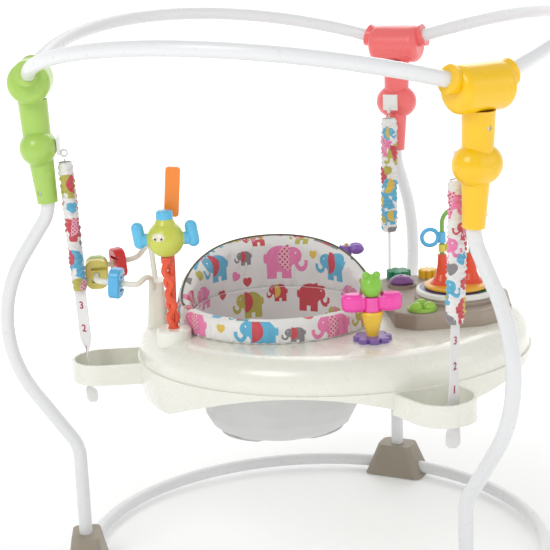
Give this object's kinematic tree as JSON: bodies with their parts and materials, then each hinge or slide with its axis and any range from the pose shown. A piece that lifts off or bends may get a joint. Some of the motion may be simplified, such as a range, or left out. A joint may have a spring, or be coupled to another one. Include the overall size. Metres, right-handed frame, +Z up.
{
  "type": "activity jumper",
  "caption": "Free-standing baby jumper: a toy tray with a swivelling fabric bucket seat, hung by sprung straps from bowed posts joined by arched rails.",
  "frame": {"origin": "on the floor, on the upright axis midway between the three posts", "axes": "+Z up, +X towards the side of the tray with the activity panel, +Y towards the high back of the seat"},
  "size_m": [0.923, 0.8604, 0.896],
  "materials": {
    "white_tube": "white powder coat",
    "green_plastic": "gloss moulded plastic",
    "yellow_plastic": "gloss moulded plastic",
    "pink_plastic": "gloss moulded plastic",
    "taupe_plastic": "fine grained moulded plastic",
    "rubber": "matt rubber",
    "screw_steel": "zinc plated steel",
    "spring_steel": "spring steel wire",
    "white_plastic": "satin moulded plastic",
    "sleeve_fabric": "printed polyester",
    "webbing": "woven polyester webbing",
    "cream_plastic": "gloss moulded plastic",
    "ivory_plastic": "satin moulded plastic",
    "purple_plastic": "gloss moulded plastic",
    "cone_yellow": "gloss moulded plastic",
    "stem_orange": "gloss moulded plastic",
    "bug_lime": "gloss moulded plastic",
    "paddle_orange": "gloss moulded plastic",
    "magenta_plastic": "gloss moulded plastic",
    "frog_green": "gloss moulded plastic",
    "clear_plastic": "clear moulded plastic",
    "lime_plastic": "gloss moulded plastic",
    "dome_purple": "gloss moulded plastic",
    "dark_green_plastic": "gloss moulded plastic",
    "sun_yellow": "gloss moulded plastic",
    "slate_plastic": "gloss moulded plastic",
    "plate_yellow": "gloss moulded plastic",
    "arch_orange": "gloss moulded plastic",
    "hoop_green": "gloss moulded plastic",
    "blue_plastic": "gloss moulded plastic",
    "leaf_yellow": "gloss moulded plastic",
    "bead_red": "gloss moulded plastic",
    "bead_yellow": "gloss moulded plastic",
    "bead_green": "gloss moulded plastic",
    "seat_fabric": "printed cotton over foam",
    "sling_fabric": "plain woven polyester"
  },
  "bodies": {
    "frame": {"foot_pads": "rubber", "hub_screws": "screw_steel", "post_left": "white_tube", "hub_outer_left": "green_plastic", "hub_inner_left": "green_plastic", "foot_left": "taupe_plastic", "post_front": "white_tube", "hub_outer_front": "yellow_plastic", "hub_inner_front": "yellow_plastic", "foot_front": "taupe_plastic", "post_rear": "white_tube", "hub_outer_rear": "pink_plastic", "hub_inner_rear": "pink_plastic", "foot_rear": "taupe_plastic", "top_rail_front": "white_tube", "floor_tube_front": "white_tube", "top_rail_right": "white_tube", "floor_tube_right": "white_tube", "top_rail_back": "white_tube", "floor_tube_back": "white_tube", "strap_clips": "white_plastic", "strap_springs": "spring_steel", "strap_sleeves": "sleeve_fabric"},
    "tray": {"tray_top": "cream_plastic", "tray_base": "cream_plastic", "tray_screws": "screw_steel", "height_webbing": "webbing", "strap_toggles": "white_plastic", "activity_panel": "taupe_plastic", "flower_bases": "purple_plastic", "front_toy_cone": "cone_yellow", "back_toy_post": "cone_yellow", "bug_stem": "stem_orange", "toy_bracket": "ivory_plastic", "bead_rail": "ivory_plastic"},
    "seat": {"seat_ring": "white_plastic", "seat_lock_ring": "white_plastic", "seat_rim_pad": "seat_fabric", "seat_back_pad": "seat_fabric", "seat_sling": "sling_fabric"},
    "bug_head": {"bug_head": "bug_lime"},
    "paddle": {"paddle": "paddle_orange"},
    "propeller": {"propeller": "magenta_plastic"},
    "frog_top": {"frog_top": "frog_green"},
    "back_spinner": {"back_petals": "purple_plastic", "clear_ball": "clear_plastic"},
    "key_knob": {"key_knob": "lime_plastic"},
    "dome_button": {"dome_button": "dome_purple"},
    "petal_wheel": {"petal_wheel": "dark_green_plastic"},
    "sun_wheel": {"sun_wheel": "sun_yellow"},
    "turret_disc": {"turret_disc": "slate_plastic"},
    "turret_arch": {"turret_plate": "plate_yellow", "turret_arch": "arch_orange", "turret_hoop": "hoop_green"},
    "ring_charm": {"ring_charm": "blue_plastic"},
    "leaf_charm": {"leaf_charm": "leaf_yellow"},
    "bead_blue": {"bead_blue": "blue_plastic"},
    "bead_yellow": {"bead_yellow": "bead_yellow"},
    "bead_green": {"bead_green": "bead_green"},
    "bead_red": {"bead_red": "bead_red"}
  },
  "joints": [
    {"name": "tray_bounce", "type": "slide", "parent": "frame", "child": "tray", "axis": [0, 0, 1], "range_m": [-0.09, 0], "stiffness_N_per_m": 1400, "springref_m": 0.05, "deforming": ["strap_springs", "strap_sleeves"]},
    {"name": "seat_spin", "type": "hinge", "parent": "tray", "child": "seat", "pos_m": [-0.048, 0, 0.41], "axis": [0, 0, 1], "continuous": true},
    {"name": "bug_spin", "type": "hinge", "parent": "tray", "child": "bug_head", "pos_m": [-0.222, -0.088, 0.573], "axis": [0, 0, 1], "range_deg": [-35, 35]},
    {"name": "paddle_tip", "type": "hinge", "parent": "tray", "child": "paddle", "pos_m": [-0.214, -0.054, 0.61], "axis": [0, 1, 0], "range_deg": [-20, 20]},
    {"name": "propeller_spin", "type": "hinge", "parent": "tray", "child": "propeller", "pos_m": [0.084, -0.164, 0.475], "axis": [0, 0, 1], "continuous": true},
    {"name": "frog_spin", "type": "hinge", "parent": "tray", "child": "frog_top", "pos_m": [0.084, -0.164, 0.5], "axis": [0, 0, 1], "continuous": true},
    {"name": "back_toy_spin", "type": "hinge", "parent": "tray", "child": "back_spinner", "pos_m": [0.085, 0.165, 0.484], "axis": [0, 0, 1], "continuous": true},
    {"name": "knob_spin", "type": "hinge", "parent": "tray", "child": "key_knob", "pos_m": [0.172, -0.098, 0.445], "axis": [0, 0, 1], "continuous": true},
    {"name": "dome_press", "type": "slide", "parent": "tray", "child": "dome_button", "axis": [0, 0, 1], "range_m": [-0.004, 0], "stiffness_N_per_m": 400, "springref_m": 0.003},
    {"name": "petal_spin", "type": "hinge", "parent": "tray", "child": "petal_wheel", "pos_m": [0.166, 0.104, 0.445], "axis": [0, 0, 1], "continuous": true},
    {"name": "sun_spin", "type": "hinge", "parent": "tray", "child": "sun_wheel", "pos_m": [0.217, 0.108, 0.445], "axis": [0, 0, 1], "continuous": true},
    {"name": "turret_disc_spin", "type": "hinge", "parent": "tray", "child": "turret_disc", "pos_m": [0.24, -0.03, 0.452], "axis": [0, 0, 1], "continuous": true},
    {"name": "turret_arch_spin", "type": "hinge", "parent": "tray", "child": "turret_arch", "pos_m": [0.24, -0.03, 0.46], "axis": [0, 0, 1], "continuous": true},
    {"name": "ring_swing", "type": "hinge", "parent": "turret_arch", "child": "ring_charm", "pos_m": [0.217, -0.03, 0.53], "axis": [0, 0, 1], "range_deg": [-60, 60]},
    {"name": "leaf_swing", "type": "hinge", "parent": "turret_arch", "child": "leaf_charm", "pos_m": [0.217, -0.03, 0.53], "axis": [0, 0, 1], "range_deg": [-60, 60]},
    {"name": "bead_blue_spin", "type": "hinge", "parent": "tray", "child": "bead_blue", "pos_m": [-0.305, -0.0247, 0.4921], "axis": [-0.9611, 0.2621, 0.0874], "continuous": true},
    {"name": "bead_yellow_spin", "type": "hinge", "parent": "tray", "child": "bead_yellow", "pos_m": [-0.338, 0.0245, 0.497], "axis": [-0.025, 0.9984, 0.0499], "continuous": true},
    {"name": "bead_green_spin", "type": "hinge", "parent": "tray", "child": "bead_green", "pos_m": [-0.3385, 0.0435, 0.498], "axis": [-0.025, 0.9984, 0.0499], "continuous": true},
    {"name": "bead_red_spin", "type": "hinge", "parent": "tray", "child": "bead_red", "pos_m": [-0.305, 0.0786, 0.5021], "axis": [0.9151, 0.3942, 0.0845], "continuous": true}
  ]
}
